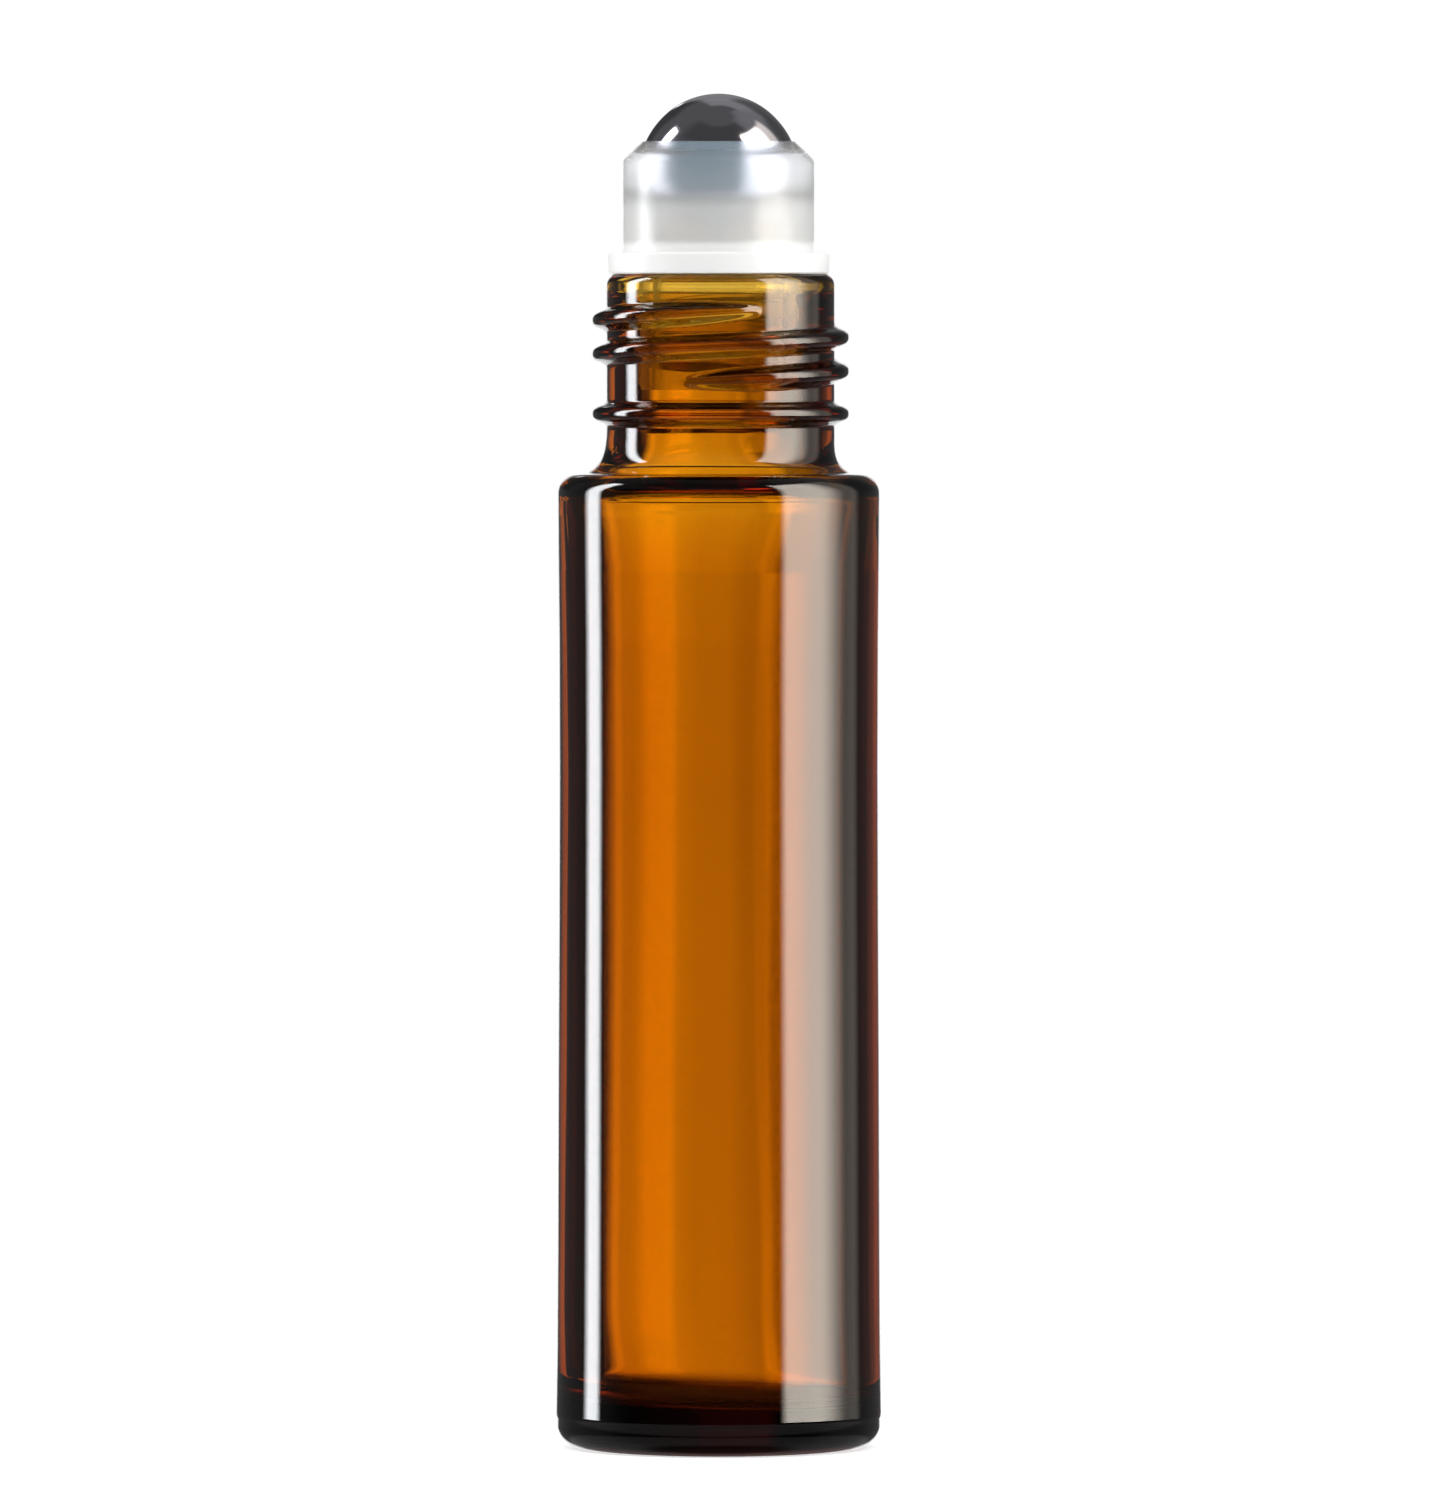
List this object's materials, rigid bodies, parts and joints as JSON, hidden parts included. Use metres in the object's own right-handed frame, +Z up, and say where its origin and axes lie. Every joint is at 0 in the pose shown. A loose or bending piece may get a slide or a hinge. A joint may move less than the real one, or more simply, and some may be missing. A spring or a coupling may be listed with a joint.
{
  "type": "roll on bottle",
  "caption": "Slim round amber glass bottle with a threaded neck, holding a clear plastic plug-in housing in which a polished steel ball rolls to spread the liquid.",
  "frame": {"origin": "on the bottle's axis, in the plane of the ring that the bottle stands on", "axes": "+Z up along the bottle's axis, towards the ball; -Y is the side that the picture shows, with +X on its right"},
  "size_m": [0.0204, 0.0204, 0.0842],
  "materials": {
    "amber_glass": "clear amber, fire polished",
    "natural_plastic": "uncoloured translucent polypropylene, glossy",
    "polished_steel": "stainless steel, ground and polished to a mirror"
  },
  "bodies": {
    "bottle": {"glass_bottle": "amber_glass"},
    "housing": {"roller_housing": "natural_plastic"},
    "ball": {"roller_ball": "polished_steel"}
  },
  "joints": [
    {"name": "housing_pull", "type": "slide", "parent": "bottle", "child": "housing", "axis": [0, 0, 1], "range_m": [0, 0.012]},
    {"name": "ball_roll", "type": "hinge", "parent": "housing", "child": "ball", "pos_m": [0, 0, 0.0792], "axis": [1, 0, 0], "continuous": true}
  ]
}
